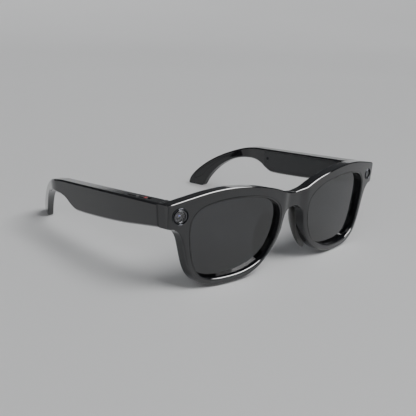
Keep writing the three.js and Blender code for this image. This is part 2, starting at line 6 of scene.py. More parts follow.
import bmesh
import bpy
import numpy as np
from mathutils import Matrix, Vector
from mathutils.geometry import delaunay_2d_cdt
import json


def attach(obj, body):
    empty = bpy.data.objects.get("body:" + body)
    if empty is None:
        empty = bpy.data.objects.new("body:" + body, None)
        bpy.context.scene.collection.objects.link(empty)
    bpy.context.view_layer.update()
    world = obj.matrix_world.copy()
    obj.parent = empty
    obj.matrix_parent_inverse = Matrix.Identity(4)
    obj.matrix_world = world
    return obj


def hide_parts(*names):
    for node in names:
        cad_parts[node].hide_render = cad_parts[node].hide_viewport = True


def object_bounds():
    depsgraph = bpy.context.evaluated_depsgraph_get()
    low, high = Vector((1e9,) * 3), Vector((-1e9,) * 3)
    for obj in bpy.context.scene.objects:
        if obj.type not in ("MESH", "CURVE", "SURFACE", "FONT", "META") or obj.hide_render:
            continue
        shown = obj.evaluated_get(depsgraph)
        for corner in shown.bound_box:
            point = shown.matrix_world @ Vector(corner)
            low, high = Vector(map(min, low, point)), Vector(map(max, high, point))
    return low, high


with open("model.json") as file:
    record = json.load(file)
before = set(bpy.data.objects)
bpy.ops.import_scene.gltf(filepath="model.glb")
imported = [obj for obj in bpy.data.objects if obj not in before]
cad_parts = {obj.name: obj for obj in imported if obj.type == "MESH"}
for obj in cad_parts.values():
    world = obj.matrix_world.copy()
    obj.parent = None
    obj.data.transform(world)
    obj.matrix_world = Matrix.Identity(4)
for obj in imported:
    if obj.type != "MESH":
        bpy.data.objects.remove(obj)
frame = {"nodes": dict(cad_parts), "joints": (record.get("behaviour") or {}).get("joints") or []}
CAD_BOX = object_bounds()
MM = 0.001
RIGHT, LEFT = -1, 1
SIDES = ((RIGHT, "right"), (LEFT, "left"))
FRONT_HALF, TEMPLE_HALF = -1, 1     # the two halves of a hinge

# ---- driving dimensions, the same as the CAD part's (millimetres, wearer's frame) ----
GAP = 0.3
FRONT_DEPTH = 7.0
FRONT_Y, WRAP, TILT = -10.3, 0.0018, -0.16
LENS_FRONT, LENS_THICK, LENS_BITE = 3.0, 1.7, 0.8
CORNER_X, STUB_BOTTOM = 74.2, -11.7
TEMPLE_X, TEMPLE_Y, SPLAY = 74.7, 8.0, 0.04
BEND_START, BEND_END, TIP_RUN = 102.0, 112.0, -0.345
TEMPLE_THICK, BEND_THICK, TIP_THICK, TIP_Y, WALL = 8.0, 6.2, 3.4, 158.2, 1.4
HINGE_X, HINGE_Y, HINGE_Z = 66.4, 12.6, -5.7
HINGE_TOP, HINGE_BOTTOM, KNUCKLE_R = -1.6, -9.8, 1.6
SEAM_ANGLE = math.atan2(HINGE_Y - TEMPLE_Y, TEMPLE_X - HINGE_X)
EYE_X, EYE_Z, CAMERA_R, LIGHT_R = 68.3, -6.0, 4.1, 3.2
CAMERA_WELL, LIGHT_WELL = (-3.5, -5.9), (-2.9, -4.2)
PAD_RADII, PAD_AT, PAD_LEAN = (3.4, 5.6, 13.0), (12.9, 9.0, -27.4), (0.1, -0.28, -0.42)
SLIDER_Y, BUTTON_Y, SLOT_LENGTH, SLOT_WIDTH = 22.0, 32.0, 8.0, 2.4
BROW_CHANNEL = (1.3, 3.9, 56.0)    # top and bottom edge below the brow line, and reach each way
CHANNEL_DEPTH = 2.6
POCKET_Y, COVER_DEPTH, SPEAKER_Y = (16.0, 88.0), (6.6, 7.8), 72.0
INLAY_Y, INLAY_INSET, INLAY_DEPTH = (120.0, 152.0), 2.0, 2.2
COVER_SCREWS, SCREW_Z = (18.5, 85.0), -6.2
SHANK_R, SHANK_END, HEAD_R, HEAD_THICK, BOSS_R = 0.6, 2.2, 1.1, 0.45, 1.9

BROW = [(0, -4.6), (6, -3.6), (13, -0.9), (19, 0.9), (27, 2.6), (36, 3.9), (44, 4.3), (53, 3.8),
        (63, 2.2), (CORNER_X, 0)]
RIM = [(70.8, -12.2), (68.4, -14.2), (66.8, -17.2), (65.5, -22), (64.2, -27.5), (62.6, -33),
       (60.2, -37.8), (56.2, -41.8), (50.6, -44.3), (43.5, -45.2), (36, -45), (29, -43.9),
       (23.3, -41.4), (18, -37.8), (13.5, -33), (10.3, -28), (8.2, -23), (7.4, -18.5), (6.1, -15),
       (3.4, -12.8), (0, -12.1)]
OPENING = [(10.7, -16.5), (11.6, -23), (13.7, -28.6), (17, -33.6), (22.5, -37.6), (31, -40.6),
           (41, -41.5), (50, -40.8), (56.6, -37.6), (60, -31.8), (61.8, -23.5), (62.6, -14.5),
           (61.6, -8.6), (57.8, -4.4), (50, -2.2), (40, -1.6), (29, -2.5), (19.5, -4.7),
           (13.2, -8.7), (11.2, -12.4)]
TEMPLE_TOP = [(98, 0), (108.5, -1.1), (118.3, -3.6), (129.2, -7.5), (140.1, -12.9), (149.4, -19.3),
              (155.6, -25.4), (TIP_Y, -30.61)]
TEMPLE_BASE = [(TEMPLE_Y, -11.6), (22, -12.9), (36, -14.2), (50, -15), (64, -15.4), (77, -15.5),
               (84, -15), (89, -12.7), (93, -10.2), (98.2, -8.4), (106.6, -7.8), (114.1, -8.4),
               (121.6, -10.5), (129.4, -14.6), (136.1, -19.9), (141.4, -25.8), (145.3, -31.855)]


# ---- the wearer's frame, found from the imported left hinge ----
def wearer_matrix():
    hinge = next(j for j in frame["joints"] if j["name"] == "left_temple_fold")
    pitch = math.atan2(hinge["axis"][1], hinge["axis"][2])
    turn = Matrix.Rotation(-pitch, 4, "X")
    offset = Vector(hinge["pos_m"]) - turn @ (Vector((HINGE_X, HINGE_Y, HINGE_Z)) * MM)
    return Matrix.Translation(offset) @ turn


WEARER = wearer_matrix()


# ---- curves and outlines ----
def smooth(points, count, closed=False):
    """Evenly spaced points on a centripetal Catmull-Rom curve."""
    p = [np.array(q, float) for q in points]
    if closed:
        p = [p[-1], *p, p[0], p[1]]
    else:
        p = [2 * p[0] - p[1], *p, 2 * p[-1] - p[-2]]
    dense = []
    for a, b, c, d in zip(p, p[1:], p[2:], p[3:]):
        k = np.sqrt([np.linalg.norm(b - a), np.linalg.norm(c - b), np.linalg.norm(d - c)])
        k = np.maximum(k, 1e-4)
        m1 = (b - a) / k[0] - (c - a) / (k[0] + k[1]) + (c - b) / k[1]
        m2 = (c - b) / k[1] - (d - b) / (k[1] + k[2]) + (d - c) / k[2]
        m1, m2 = m1 * k[1], m2 * k[1]
        for t in np.linspace(0, 1, 40, endpoint=False):
            dense.append((2 * t**3 - 3 * t**2 + 1) * b + (t**3 - 2 * t**2 + t) * m1
                         + (-2 * t**3 + 3 * t**2) * c + (t**3 - t**2) * m2)
    dense.append(p[-2])
    return respace(np.array(dense), count, closed)


def respace(line, count, closed=False):
    run = np.concatenate([[0], np.cumsum(np.linalg.norm(np.diff(line, axis=0), axis=1))])
    at = np.linspace(0, run[-1], count + 1)
    even = np.stack([np.interp(at, run, line[:, i]) for i in range(line.shape[1])], 1)
    return even[:-1] if closed else even


def mirror(outline):
    return (outline * np.array([-1, 1]))[::-1]


def shift(outline, distance):
    """A closed, counter-clockwise outline moved outward, with mitred corners."""
    before = outline - np.roll(outline, 1, 0)
    after = np.roll(outline, -1, 0) - outline
    n1 = np.stack([before[:, 1], -before[:, 0]], 1) / np.linalg.norm(before, axis=1)[:, None]
    n2 = np.stack([after[:, 1], -after[:, 0]], 1) / np.linalg.norm(after, axis=1)[:, None]
    middle = n1 + n2
    scale = 2 / np.maximum((middle**2).sum(1), 0.5)
    return outline + middle * scale[:, None] * distance


def inside(points, loop):
    x, y = points[:, 0], points[:, 1]
    hit = np.zeros(len(points), bool)
    for (x0, y0), (x1, y1) in zip(loop, np.roll(loop, -1, 0)):
        crosses = (y0 > y) != (y1 > y)
        with np.errstate(divide="ignore", invalid="ignore"):
            hit ^= crosses & (x < (x1 - x0) * (y - y0) / (y1 - y0) + x0)
    return hit


opening = smooth(OPENING, 220, closed=True)
brow_line = smooth(BROW, 110)
rim_line = smooth(RIM, 190)
straight_top = np.linspace((TEMPLE_Y, 0), TEMPLE_TOP[0], 60, endpoint=False)
temple_top = np.vstack([straight_top, smooth(TEMPLE_TOP, 70)])
temple_base = smooth(TEMPLE_BASE, 150)


def brow_height(x):
    return np.interp(np.abs(x), brow_line[:, 0], brow_line[:, 1])


def top_height(y):
    return np.interp(y, temple_top[:, 0], temple_top[:, 1])


def base_height(y):
    return np.interp(y, temple_base[:, 0], temple_base[:, 1])


def eased(line, corner, radius):
    """An open line with one corner rounded off."""
    away = np.linalg.norm(line - corner, axis=1)
    near = np.flatnonzero(away < radius)
    before, after = line[:near[0]], line[near[-1] + 1:]
    t = np.linspace(0, 1, 6)[:, None]
    bend = (1 - t)**2 * before[-1] + 2 * t * (1 - t) * np.array(corner) + t**2 * after[0]
    return np.vstack([before[:-1], bend, after[1:]])


def front_outline():
    side = np.linspace((CORNER_X, 0), (CORNER_X, STUB_BOTTOM), 24, endpoint=False)[1:]
    under = np.linspace((CORNER_X, STUB_BOTTOM), rim_line[0], 7, endpoint=False)
    half = np.vstack([brow_line, side, under, rim_line])
    half = eased(half, (CORNER_X, 0), 0.9)
    half = eased(half, (CORNER_X, STUB_BOTTOM), 1.0)
    whole = np.vstack([half, (half * np.array([-1, 1]))[::-1][1:-1]])
    return whole[::-1]


def brow_outline(inset):
    """The brow channel, drawn in from its walls by inset."""
    upper, lower, reach = BROW_CHANNEL
    x = np.linspace(inset - reach, reach - inset, 91)
    low = np.stack([x, brow_height(x) - (lower - inset)], 1)
    high = np.stack([x, brow_height(x) - (upper + inset)], 1)[::-1]
    return np.vstack([low, high])


# ---- flat plates with rounded edges, drawn as (u, v) outline and depth w ----
CORNER_SOFT = 0.13      # softening of a cut facet's corners


def arc(radius, w, rising, steps):
    """Inset and depth along a rounded edge, from the face to the wall, or back again."""
    angles = np.linspace(0, math.pi / 2, steps + 1)
    turn = [(radius * (1 - math.sin(a)), w + radius * (1 - math.cos(a))) for a in angles]
    return turn if rising else [(i, 2 * w - d) for i, d in turn[::-1]]


def facet(width, w, rising):
    """Inset and depth along a flat polished facet with just-softened corners."""
    turn = [(width + CORNER_SOFT, w),
            (width + CORNER_SOFT * 0.4, w + CORNER_SOFT * 0.07),
            (width - CORNER_SOFT * 0.3, w + CORNER_SOFT * 0.42)]
    turn += [(d - w, i + w) for i, d in turn[::-1]]
    return turn if rising else [(i, 2 * w - d) for i, d in turn[::-1]]


def add_wall(points, faces, loop, profile, into):
    """Adds the wall that follows a profile round a loop, and returns its first and last ring."""
    rings = []
    for inset, w in profile:
        ring = shift(loop, into * inset) if abs(inset) > 1e-9 else loop
        rings.append(list(range(len(points), len(points) + len(ring))))
        points.extend((u, v, w) for u, v in ring)
    for a, b in zip(rings, rings[1:]):
        for i in range(len(a)):
            j = (i + 1) % len(a)
            quad = (a[i], a[j], b[j], b[i])
            faces.append(quad if into < 0 else quad[::-1])
    return rings[0], rings[-1]


def face_spots(outline, edge, holes, hole_edge, grid):
    """A staggered grid of points inside an outline and clear of its holes."""
    lo, hi = outline.min(0), outline.max(0)
    u, v = np.meshgrid(np.arange(lo[0], hi[0], grid), np.arange(lo[1], hi[1], grid * 0.87))
    u = u + (np.arange(u.shape[0]) % 2)[:, None] * grid / 2
    spots = np.stack([u.ravel(), v.ravel()], 1)
    clear = grid * 0.45
    keep = inside(spots, shift(outline, -edge - clear))
    for hole in holes:
        keep &= ~inside(spots, shift(hole, hole_edge + clear))
    return spots[keep]


def add_cap(points, faces, loops, spots, w, upward):
    """Fills the flat face at depth w, between its border loops, with even triangles."""
    index = [i for loop in loops for i in loop]
    flat = [points[i][:2] for i in index] + [tuple(p) for p in spots]
    index += range(len(points), len(points) + len(spots))
    points.extend((u, v, w) for u, v in spots)
    borders, base = [], 0
    for loop in loops:
        borders += [(base + i, base + (i + 1) % len(loop)) for i in range(len(loop))]
        base += len(loop)
    corners = [Vector(p) for p in flat]
    spread, _, triangles, source = delaunay_2d_cdt(corners, borders, [], 0, 1e-7)[:4]
    origin = [index[o[0]] if o else None for o in source]
    centres = np.array([np.mean([tuple(spread[i]) for i in f], axis=0) for f in triangles])
    rims = [np.array([points[i][:2] for i in loop]) for loop in loops]
    good = inside(centres, rims[0])
    for rim in rims[1:]:
        good &= ~inside(centres, rim)
    for triangle, ok in zip(triangles, good):
        face = [origin[i] for i in triangle]
        if ok and None not in face and len(set(face)) == 3:
            faces.append(tuple(face) if upward else tuple(face[::-1]))


def plate(outline, w0, w1, edge0, edge1, holes=(), hole_profile=(), grid=1.6, steps=5,
          cut_edges=False):
    """Points and faces of a plate from w0 to w1 with rounded or cut edges and fine even faces."""
    if cut_edges:
        profile = facet(edge0, w0, True) + facet(edge1, w1, False)
    else:
        profile = arc(edge0, w0, True, steps) + arc(edge1, w1, False, steps)
    points, faces = [], []
    ends = [add_wall(points, faces, outline, profile, -1)]
    ends += [add_wall(points, faces, hole, hole_profile, 1) for hole in holes]
    hole_edge = max(hole_profile[0][0], hole_profile[-1][0]) if holes else 0
    spots = face_spots(outline, max(edge0, edge1), holes, hole_edge, grid)
    for which, w in ((0, w0), (1, w1)):
        add_cap(points, faces, [end[which] for end in ends], spots, w, upward=which == 1)
    return np.array(points, float), faces


# ---- the two curved surfaces ----
def front_y(x, z):
    return FRONT_Y + WRAP * x * x + TILT * z


def on_front(p):
    return np.stack([p[:, 0], front_y(p[:, 0], p[:, 1]) + p[:, 2], p[:, 1]], 1)


# height, and the distance from the middle where the face starts to fall back
NOSE_FALL = [(-45, 26), (-38, 21), (-33, 16.6), (-28, 13.4), (-23, 11.4), (-18, 10.3),
             (-12, 9.2), (-4, 9)]
FALL_DEPTH, FALL_RUN = 1.3, 5.5      # how far it falls back, and over what width


def on_sculpted_front(p):
    """The front's own surface: its face falls back softly toward the bridge and the nose."""
    edge = np.interp(p[:, 1], *zip(*NOSE_FALL))
    t = np.clip((edge - np.abs(p[:, 0])) / FALL_RUN, 0, 1)
    fall = FALL_DEPTH * t * t * (3 - 2 * t) * (1 - np.clip(p[:, 2] / FRONT_DEPTH, 0, 1))
    return on_front(p) + np.stack([0 * fall, fall, 0 * fall], 1)


def outer_x(y):
    y = np.asarray(y, float)
    turn = np.clip((y - BEND_START) / (BEND_END - BEND_START), 0, 1)
    bend = (TIP_RUN - SPLAY) * (BEND_END - BEND_START) * turn**2 / 2
    tip = np.maximum(0, y - BEND_END) * (TIP_RUN - SPLAY)
    return TEMPLE_X + SPLAY * (y - TEMPLE_Y) + bend + tip


def thick_at(y):
    y = np.asarray(y, float)
    slope = (BEND_THICK - TEMPLE_THICK) / (BEND_START - HINGE_Y)
    bar = TEMPLE_THICK + slope * (y - HINGE_Y)
    tip = np.interp(y, (BEND_START, TIP_Y), (BEND_THICK, TIP_THICK))
    return np.where(y < BEND_START, bar, tip)


def on_temple(side):
    def move(p):
        inward = p[:, 2] * thick_at(p[:, 0]) / TEMPLE_THICK
        return np.stack([side * (outer_x(p[:, 0]) - inward), p[:, 0], p[:, 1]], 1)
    return move


def eye_matrix(side):
    forward = Vector((2 * WRAP * side * EYE_X, -1, TILT)).normalized()
    turn = forward.to_track_quat("Z", "Y").to_matrix().to_4x4()
    return Matrix.Translation((side * EYE_X, front_y(EYE_X, EYE_Z), EYE_Z)) @ turn


def hinge_matrix(side):
    return (Matrix.Scale(side, 4, (1, 0, 0)) @ Matrix.Translation((HINGE_X, HINGE_Y, 0))
            @ Matrix.Rotation(-SEAM_ANGLE, 4, "Z"))


def bar_matrix(side, y):
    return (Matrix.Scale(side, 4, (1, 0, 0)) @ Matrix.Translation((float(outer_x(y)), y, 0))
            @ Matrix.Rotation(-math.atan(SPLAY), 4, "Z") @ Matrix.Scale(-1, 4, (1, 0, 0)))


# ---- making objects ----
def new_object(name, points, faces):
    """A mesh object from millimetre points in the wearer's frame, with its faces turned out."""
    mesh = bpy.data.meshes.new(name)
    mesh.from_pydata([tuple(p) for p in points], [], faces)
    bm = bmesh.new()
    bm.from_mesh(mesh)
    bmesh.ops.remove_doubles(bm, verts=bm.verts, dist=1e-5)
    bmesh.ops.recalc_face_normals(bm, faces=bm.faces)
    bm.to_mesh(mesh)
    bm.free()
    obj = bpy.data.objects.new(name, mesh)
    bpy.context.scene.collection.objects.link(obj)
    return obj


def apply_modifiers(obj):
    bpy.context.view_layer.update()
    shape = obj.evaluated_get(bpy.context.evaluated_depsgraph_get())
    mesh = bpy.data.meshes.new_from_object(shape)
    obj.modifiers.clear()
    old, obj.data = obj.data, mesh
    mesh.name = obj.name
    bpy.data.meshes.remove(old)


def cut(obj, *tools, operation="DIFFERENCE"):
    for tool in tools:
        step = obj.modifiers.new("cut", "BOOLEAN")
        step.operation, step.solver, step.object = operation, "EXACT", tool
        apply_modifiers(obj)
        bpy.data.objects.remove(tool)
    return obj


def moved(obj, matrix):
    obj.data.transform(matrix)
    if matrix.determinant() < 0:
        obj.data.flip_normals()
    return obj


def warped(obj, move):
    co = np.empty(len(obj.data.vertices) * 3, np.float64)
    obj.data.vertices.foreach_get("co", co)
    obj.data.vertices.foreach_set("co", move(co.reshape(-1, 3)).ravel())
    bm = bmesh.new()
    bm.from_mesh(obj.data)
    bmesh.ops.recalc_face_normals(bm, faces=bm.faces)
    bm.to_mesh(obj.data)
    bm.free()
    return obj


def box(name, x0, x1, y0, y1, z0, z1, edge=0.0, steps=3):
    corners = [(x, y, z) for x in (x0, x1) for y in (y0, y1) for z in (z0, z1)]
    quads = [(0, 1, 3, 2), (4, 6, 7, 5), (0, 4, 5, 1), (2, 3, 7, 6), (0, 2, 6, 4), (1, 5, 7, 3)]
    obj = new_object(name, corners, quads)
    if edge:
        step = obj.modifiers.new("edge", "BEVEL")
        step.width, step.segments, step.limit_method = edge, steps, "NONE"
        apply_modifiers(obj)
    return obj


def lathe(name, profile, segments=96):
    """A round piece about z from (radius, height) pairs, closed on the axis or on itself."""
    points, faces, rows = [], [], []
    for r, h in profile:
        if r < 1e-6:
            rows.append([len(points)] * segments)
            points.append((0, 0, h))
            continue
        rows.append(list(range(len(points), len(points) + segments)))
        points += [(r * math.cos(a), r * math.sin(a), h)
                   for a in np.linspace(0, 2 * math.pi, segments, endpoint=False)]
    for a, b in zip(rows, rows[1:]):
        for i in range(segments):
            j = (i + 1) % segments
            face = list(dict.fromkeys((a[i], a[j], b[j], b[i])))
            if len(face) > 2:
                faces.append(face)
    return new_object(name, points, faces)


SHARP_FROM = math.radians(32)      # edges sharper than this stay crisp


def finish_piece(obj, material, body, replaces):
    """Puts a piece in the row frame in metres, smooths it, and ties it to its body."""
    obj.data.transform(WEARER @ Matrix.Scale(MM, 4))
    for vertex in obj.data.vertices:
        vertex.co = Vector(np.clip(vertex.co, *CAD_BOX))
    obj.data.materials.clear()
    obj.data.materials.append(material)
    obj.data.shade_smooth()
    obj.data.set_sharp_from_angle(angle=SHARP_FROM)
    weigh = obj.modifiers.new("weighted normals", "WEIGHTED_NORMAL")
    weigh.keep_sharp, weigh.weight = True, 80
    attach(obj, body)
    if replaces:
        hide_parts(*replaces)


# ---- materials ----
class Nodes:
    """A small helper for building one material's node tree."""

    def __init__(self, name):
        self.material = bpy.data.materials.new(name)
        self.material.use_nodes = True
        self.tree = self.material.node_tree
        self.shader = self.tree.nodes["Principled BSDF"]
        self.place = self.add("ShaderNodeTexCoord").outputs["Object"]

    def add(self, kind, **values):
        node = self.tree.nodes.new(kind)
        for key, value in values.items():
            setattr(node, key, value)
        return node

    def link(self, source, target):
        self.tree.links.new(source, target)

    def noise(self, scale, detail=3.0, roughness=0.5, stretch=None):
        node = self.add("ShaderNodeTexNoise")
        node.inputs["Scale"].default_value = scale
        node.inputs["Detail"].default_value = detail
        node.inputs["Roughness"].default_value = roughness
        source = self.place
        if stretch:
            mapping = self.add("ShaderNodeMapping")
            mapping.inputs["Scale"].default_value = stretch
            self.link(self.place, mapping.inputs["Vector"])
            source = mapping.outputs["Vector"]
        self.link(source, node.inputs["Vector"])
        return node.outputs["Fac"]

    def remap(self, value, low, high, to_low, to_high):
        node = self.add("ShaderNodeMapRange")
        self.link(value, node.inputs["Value"])
        ends = {"From Min": low, "From Max": high, "To Min": to_low, "To Max": to_high}
        for socket, number in ends.items():
            node.inputs[socket].default_value = number
        return node.outputs["Result"]

    def math(self, operation, a, b):
        node = self.add("ShaderNodeMath", operation=operation)
        for socket, value in zip(node.inputs, (a, b)):
            if isinstance(value, (int, float)):
                socket.default_value = value
            else:
                self.link(value, socket)
        return node.outputs[0]

    def mix(self, factor, a, b):
        node = self.add("ShaderNodeMix", data_type="RGBA")
        self.link(factor, node.inputs["Factor"])
        for socket, value in zip((node.inputs[6], node.inputs[7]), (a, b)):
            if isinstance(value, tuple):
                socket.default_value = (*value, 1)
            else:
                self.link(value, socket)
        return node.outputs[2]

    def edges(self, radius):
        """How sharp the surface is nearby: 0 on a flat, rising on edges."""
        bevel = self.add("ShaderNodeBevel", samples=4)
        bevel.inputs["Radius"].default_value = radius
        normal = self.add("ShaderNodeNewGeometry").outputs["Normal"]
        dot = self.add("ShaderNodeVectorMath", operation="DOT_PRODUCT")
        self.link(bevel.outputs["Normal"], dot.inputs[0])
        self.link(normal, dot.inputs[1])
        return self.math("SUBTRACT", 1.0, dot.outputs["Value"])

    def bump(self, height, distance, strength, after=None):
        node = self.add("ShaderNodeBump")
        node.inputs["Strength"].default_value = strength
        node.inputs["Distance"].default_value = distance
        self.link(height, node.inputs["Height"])
        if after is not None:
            self.link(after, node.inputs["Normal"])
        return node.outputs["Normal"]

    def set(self, **values):
        for key, value in values.items():
            socket = self.shader.inputs[key.replace("_", " ")]
            if isinstance(value, (int, float)):
                socket.default_value = value
            else:
                self.link(value, socket)


def moulded(name, color, roughness, spread=0.05, grain=0.0, coat=0.0, worn=None):
    """Moulded plastic: cloudy polish marks, fine hairlines, a slight orange peel and rubbed edges."""
    n = Nodes(name)
    clouds = n.noise(38, 4, 0.6)
    smears = n.noise(9, 3, 0.55, stretch=(1.0, 3.0, 1.6))
    hairlines = n.noise(2600, 2, 0.5, stretch=(1.0, 0.025, 0.7))
    patches = n.remap(n.noise(420, 4, 0.65), 0.42, 0.62, 0, 1)
    edge = n.remap(n.math("MULTIPLY", n.edges(0.0006), patches), 0.02, 0.25, 0, 0.35)
    worn = worn or tuple(min(1.0, c * 2.2 + 0.02) for c in color)
    lighter = tuple(c * 1.35 + 0.001 for c in color)
    shade = n.mix(n.remap(clouds, 0.3, 0.7, 0, 1), color, lighter)
    rough = n.remap(clouds, 0.3, 0.7, roughness - spread, roughness + spread)
    rough = n.math("ADD", rough, n.remap(smears, 0.45, 0.75, 0, spread * 1.2))
    rough = n.math("ADD", rough, n.remap(hairlines, 0.62, 0.78, 0, spread * 1.6))
    rough = n.math("ADD", rough, n.math("MULTIPLY", edge, 0.35))
    peel = n.bump(n.noise(700, 2, 0.5), 0.000012, 0.35)
    normal = n.bump(hairlines, 0.000004, 0.25, peel)
    if grain:
        normal = n.bump(n.noise(5000, 2, 0.6), grain, 0.6, normal)
    n.set(Base_Color=n.mix(edge, shade, worn), Roughness=rough, Normal=normal, IOR=1.52)
    if coat:
        n.set(Coat_Weight=coat, Coat_Roughness=0.06, Coat_IOR=1.5)
    return n.material


def metal(name, color, roughness, brush=(1.0, 1.0, 0.06)):
    """Metal with fine brush lines, stretched along one direction, and brighter edges."""
    n = Nodes(name)
    grain = n.noise(5200, 3, 0.6, stretch=brush)
    clouds = n.noise(160, 3, 0.6)
    edge = n.remap(n.edges(0.0003), 0.02, 0.3, 0, 0.2)
    darker = tuple(c * 0.82 for c in color)
    shade = n.mix(n.remap(clouds, 0.3, 0.7, 0, 1), color, darker)
    rough = n.math("ADD", n.remap(grain, 0.3, 0.7, roughness * 0.75, roughness * 1.25),
                   n.remap(clouds, 0.35, 0.7, -0.03, 0.06))
    n.set(Base_Color=n.mix(edge, shade, tuple(min(1.0, c * 1.4) for c in color)), Metallic=1.0)
    n.set(Roughness=rough, Normal=n.bump(grain, 0.000006, 0.4))
    return n.material


def tinted_glass(name, tint, roughness, smudge):
    """Tinted glass with faint smears and dust."""
    n = Nodes(name)
    smears = n.noise(24, 4, 0.6, stretch=(1.0, 1.0, 0.55))
    dust = n.noise(5200, 2, 0.5)
    rough = n.math("ADD", n.remap(smears, 0.45, 0.72, roughness, roughness + smudge),
                   n.remap(dust, 0.70, 0.78, 0, 0.12))
    shade = n.mix(n.remap(smears, 0.35, 0.7, 0, 1), tint, tuple(c * 1.18 for c in tint))
    n.set(Base_Color=shade, Roughness=rough, Transmission_Weight=1.0, IOR=1.6)
    return n.material


def board_material(name, color):
    """A circuit board: solder mask over a raised grid of copper runs."""
    n = Nodes(name)
    cells = n.add("ShaderNodeTexBrick")
    cells.inputs["Scale"].default_value = 900
    cells.inputs["Mortar Size"].default_value = 0.018
    n.link(n.place, cells.inputs["Vector"])
    weave = n.noise(2400, 3, 0.6)
    shade = n.mix(n.remap(weave, 0.3, 0.7, 0, 1), color, tuple(c * 1.5 for c in color))
    n.set(Base_Color=n.mix(cells.outputs["Fac"], shade, tuple(c * 0.55 for c in color)))
    n.set(Roughness=n.remap(weave, 0.3, 0.7, 0.32, 0.5))
    n.set(Normal=n.bump(cells.outputs["Fac"], 0.00002, 0.5))
    return n.material


GLOSS = moulded("gloss_black_moulding", (0.0045, 0.0048, 0.006), 0.06, spread=0.015, coat=0.3)
SATIN = moulded("satin_black_moulding", (0.016, 0.017, 0.0195), 0.36, grain=0.00001)
PAD = moulded("nose_pad_moulding", (0.034, 0.034, 0.032), 0.28)
MATTE = moulded("matte_black_moulding", (0.01, 0.01, 0.011), 0.62, spread=0.08, grain=0.00002)
CELL = moulded("battery_foil", (0.30, 0.31, 0.33), 0.4, spread=0.1)
FLEX = moulded("flex_film", (0.33, 0.15, 0.03), 0.42)
RED = moulded("red_paint", (0.36, 0.02, 0.022), 0.45, worn=(0.5, 0.15, 0.13))
GUIDE = moulded("frosted_light_guide", (0.05, 0.052, 0.056), 0.32)
RING = metal("dark_anodised_ring", (0.075, 0.078, 0.088), 0.2, brush=(1.0, 1.0, 1.0))
STEEL = metal("brushed_steel", (0.58, 0.585, 0.6), 0.28)
BLACK_STEEL = metal("blackened_steel", (0.035, 0.036, 0.04), 0.3)
BRIGHT = metal("polished_ring", (0.13, 0.132, 0.14), 0.16, brush=(1.0, 1.0, 1.0))
LENS = tinted_glass("smoke_lens", (0.022, 0.023, 0.026), 0.012, 0.02)
WINDOW = tinted_glass("camera_window_glass", (0.66, 0.66, 0.7), 0.005, 0.01)
BOARD = board_material("solder_mask", (0.010, 0.055, 0.032))


ELEMENT_DEPTH = -1.7     # middle of the camera's front element, behind the face


def coated_lens_with_painted_glint():
    """The front element's dark glass: violet at the rim, olive further in, and a painted blue glint
    at the centre.
    """
    n = Nodes("coated_camera_lens_painted_glint")
    away = n.add("ShaderNodeVectorMath", operation="DISTANCE")
    n.link(n.place, away.inputs[0])
    away.inputs[1].default_value = WEARER @ (eye_matrix(RIGHT) @ Vector((0, 0, ELEMENT_DEPTH)) * MM)
    ripple = n.remap(n.noise(900, 2), 0.3, 0.7, -0.0001, 0.0001)
    radius = n.math("ADD", away.outputs["Value"], ripple)
    # the blue colour is a painted glint: it stands in for the key light's reflection at the element's
    # centre
    olive, violet, painted_glint_blue = (0.035, 0.033, 0.012), (0.03, 0.014, 0.04), (0.22, 0.26, 0.95)
    outer = n.mix(n.remap(radius, 0.0006, 0.0010, 0, 1), olive, violet)
    # paints the blue glint over the middle of the element
    n.set(Base_Color=n.mix(n.remap(radius, 0.0003, 0.0005, 1, 0), outer, painted_glint_blue))
    n.set(Roughness=n.remap(n.noise(700, 2), 0.3, 0.7, 0.02, 0.07), IOR=1.7)
    n.set(Coat_Weight=1.0, Coat_Roughness=0.03)
    return n.material


COATED_PAINTED_GLINT = coated_lens_with_painted_glint()


# ---- the front ----
SEAT = 0.06            # visible clearance around a seated piece


def tool(outline, w0, w1, move):
    """A cutting tool drawn as a plate and bent with the surface it cuts."""
    return warped(new_object("tool", *plate(outline, w0, w1, 0.02, 0.02, grid=3.0, steps=1)), move)


def hinge_pocket(side, half):
    """Room for the barrel, and for one half's leaf on its side of the seam."""
    low, high, radius = HINGE_BOTTOM - GAP, HINGE_TOP + GAP, KNUCKLE_R + 0.4
    barrel = lathe("tool", [(0, low), (radius, low), (radius, high), (0, high)], 48)
    slab = box("tool", 0, 5.6, *sorted((half * 1.8, -half)), low, high)
    return moved(cut(barrel, slab, operation="UNION"), hinge_matrix(side))


def make_stub(side):
    """The end piece behind the corner, flush with the side of the front and mitred at the seam."""
    plan = [(CORNER_X - 0.12, 1.6), (TEMPLE_X - 0.1, TEMPLE_Y - 0.22),
            (HINGE_X + 0.5, HINGE_Y - 0.28), (HINGE_X + 0.5, 2.0)]
    walls = zip(plan, plan[1:] + plan[:1])
    loop = np.vstack([np.linspace(a, b, 12, endpoint=False) for a, b in walls])
    stub = new_object("stub", *plate(loop, STUB_BOTTOM + 0.03, -0.03, 0.5, 0.5, grid=2.0))
    return moved(stub, Matrix.Scale(side, 4, (1, 0, 0)))


def opening_profile():
    """Inset and depth through a lens opening: fine step, cut edge, lens groove and flare."""
    near, far = LENS_FRONT - SEAT, LENS_FRONT + LENS_THICK + SEAT
    step = [(0.92, 0), (0.9, 0.03), (0.88, 0.3), (0.68, 0.3), (0.66, 0.03)]
    groove = [(0, near), (LENS_BITE, near), (LENS_BITE, far), (0.1, far)]
    flare = [(0.2, far + 0.12), (0.75, FRONT_DEPTH - 0.4), (0.9, FRONT_DEPTH - 0.1),
             (1.1, FRONT_DEPTH)]
    return step + facet(0.42, 0, True) + groove + flare


def eye_well(radius, seat_end, bottom):
    """The stepped well of the camera or the status light, as a cutting tool about z."""
    inner, outer = radius - 0.6, radius + 0.08
    profile = [(0, bottom), (inner, bottom), (inner, seat_end), (outer, seat_end), (outer, 3), (0, 3)]
    return lathe("tool", profile)


